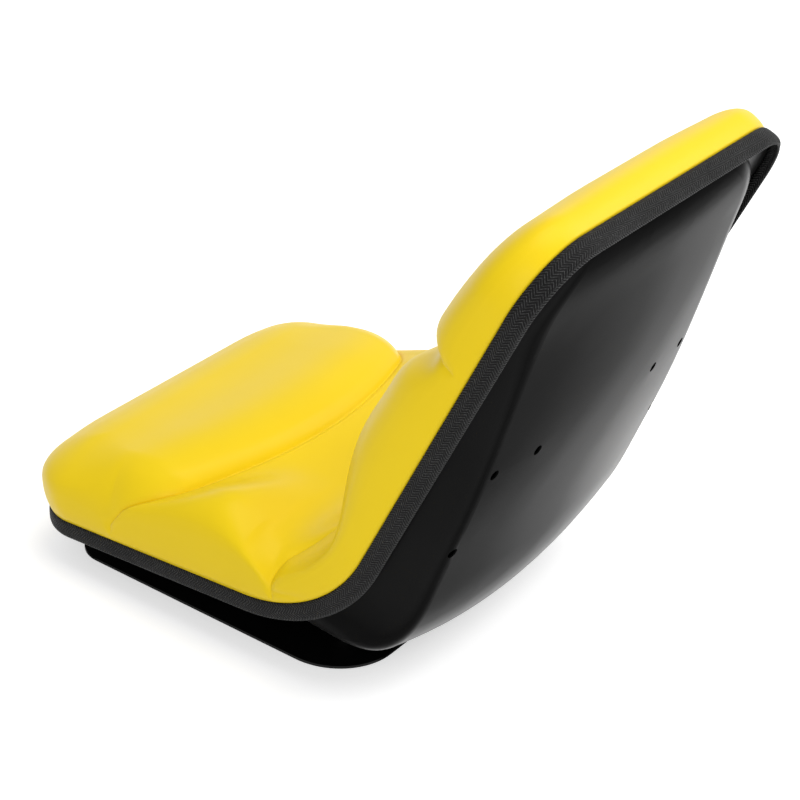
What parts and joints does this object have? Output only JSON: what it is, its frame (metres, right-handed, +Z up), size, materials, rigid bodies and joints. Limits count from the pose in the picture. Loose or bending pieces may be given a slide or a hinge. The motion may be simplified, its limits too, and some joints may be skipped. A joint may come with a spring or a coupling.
{
  "type": "tractor seat",
  "caption": "Garden tractor seat: moulded vinyl cushion with side bolsters on a pressed steel pan with textured edge trim, on a flat base plate with bolt holes.",
  "frame": {"origin": "middle of the four base holes, on the underside of the base plate", "axes": "+Z up, the seat faces -Y and its back is towards +Y, +X is the sitter's left; symmetric about X = 0"},
  "size_m": [0.454, 0.6238, 0.5641],
  "materials": {
    "cushion_vinyl": "smooth satin vinyl",
    "pan_paint": "satin black",
    "trim_rubber": "matt black, fine woven texture",
    "plate_paint": "matt black",
    "plated_steel": "zinc plated"
  },
  "bodies": {
    "root": {"seat_cushion": "cushion_vinyl", "seat_pan": "pan_paint", "edge_trim": "trim_rubber", "base_plate": "plate_paint", "plate_spacers": "plated_steel", "plate_screws": "plated_steel", "pan_nuts": "plated_steel"}
  },
  "joints": []
}
